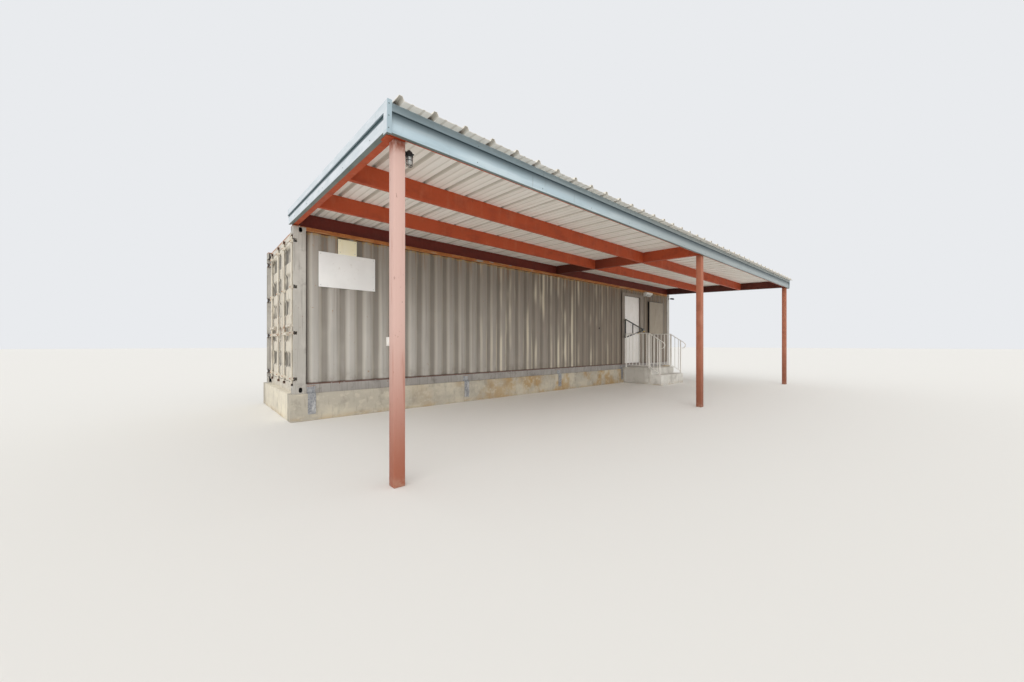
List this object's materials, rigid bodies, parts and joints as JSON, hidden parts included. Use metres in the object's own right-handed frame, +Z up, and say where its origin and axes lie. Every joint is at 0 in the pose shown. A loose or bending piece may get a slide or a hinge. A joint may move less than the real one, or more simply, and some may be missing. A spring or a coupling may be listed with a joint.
{
  "type": "shipping container cabin with lean-to canopy",
  "caption": "Corrugated steel container cabin on a concrete base, with cargo doors, a side door with railed steps, a shuttered window and a ribbed lean-to canopy on steel posts.",
  "frame": {"origin": "on the ground, at the middle of the footprint of cabin and canopy together", "axes": "+X along the container from the cargo doors to the blind end, +Y away from the canopy, +Z up"},
  "size_m": [12.296, 6.2182, 3.2734],
  "materials": {
    "concrete": "cast concrete, rough",
    "cast_concrete": "precast concrete, fine",
    "galvanised_plate": "weathered zinc",
    "railing_paint": "satin",
    "plywood": "worn plywood",
    "primer_steel": "matt",
    "grey_paint": "weathered, chalky",
    "pale_grey_paint": "weathered, satin",
    "rusty_rail": "rusted through its paint",
    "dark_frame": "matt",
    "door_white": "satin",
    "brass": "dull",
    "black_steel": "satin",
    "aluminium": "satin",
    "glass": "clear",
    "shutter_paint": "satin",
    "cream_paint": "stained, satin",
    "rod_steel": "worn",
    "red_oxide": "red oxide primer, matt",
    "maroon_oxide": "dark primer, matt",
    "roof_sheet": "ribbed coated steel",
    "blue_trim": "coated steel, satin",
    "white_board": "satin",
    "cream_plastic": "matt",
    "white_plastic": "satin",
    "black_plastic": "satin"
  },
  "bodies": {
    "cabin": {"foundation_sides": "concrete", "foundation_ends": "concrete", "entry_steps": "cast_concrete", "tie_plates": "galvanised_plate", "railing_left": "railing_paint", "railing_right": "railing_paint", "floor_deck": "plywood", "cross_members": "primer_steel", "bottom_rails": "grey_paint", "corner_castings": "pale_grey_paint", "corner_posts": "pale_grey_paint", "top_rails": "rusty_rail", "cargo_end_frame": "rusty_rail", "blind_end_rails": "grey_paint", "container_roof": "grey_paint", "blind_end_wall": "grey_paint", "rear_wall": "grey_paint", "front_wall_left": "grey_paint", "front_wall_over_door": "grey_paint", "front_wall_right": "grey_paint", "door_frame": "dark_frame", "window_frame": "aluminium", "window_glass": "glass", "window_shutter": "shutter_paint", "hinge_lugs": "rod_steel", "rod_keepers": "rod_steel", "canopy_posts": "red_oxide", "rafters": "red_oxide", "purlins": "red_oxide", "eave_beam": "red_oxide", "ledger": "maroon_oxide", "canopy_roof": "roof_sheet", "front_fascia": "blue_trim", "rake_trims": "blue_trim", "sign_board": "white_board", "notice_box": "cream_plastic", "outlet_box": "white_plastic", "wall_light": "white_plastic", "floodlight": "black_plastic", "security_camera": "black_plastic"},
    "personnel_leaf": {"personnel_door": "door_white", "door_knob": "brass"},
    "security_bar": {"lock_bar": "black_steel", "padlock": "brass"},
    "cargo_leaf_front": {"cargo_door_front": "cream_paint", "lock_rods_front": "rod_steel"},
    "cargo_leaf_rear": {"cargo_door_rear": "cream_paint", "lock_rods_rear": "rod_steel"}
  },
  "joints": [
    {"name": "side_door_hinge", "type": "hinge", "parent": "cabin", "child": "personnel_leaf", "pos_m": [3.109, 0.72515, 1.65], "axis": [0, 0, 1], "range_deg": [0, 100]},
    {"name": "security_bar_hinge", "type": "hinge", "parent": "cabin", "child": "security_bar", "pos_m": [3.029, 0.56315, 1.69], "axis": [0, 0, -1], "range_deg": [0, 85]},
    {"name": "cargo_hinge_front", "type": "hinge", "parent": "cabin", "child": "cargo_leaf_front", "pos_m": [-6.074, 0.63715, 1.713], "axis": [0, 0, 1], "range_deg": [0, 250]},
    {"name": "cargo_hinge_rear", "type": "hinge", "parent": "cabin", "child": "cargo_leaf_rear", "pos_m": [-6.074, 3.03115, 1.713], "axis": [0, 0, -1], "range_deg": [0, 250]}
  ]
}
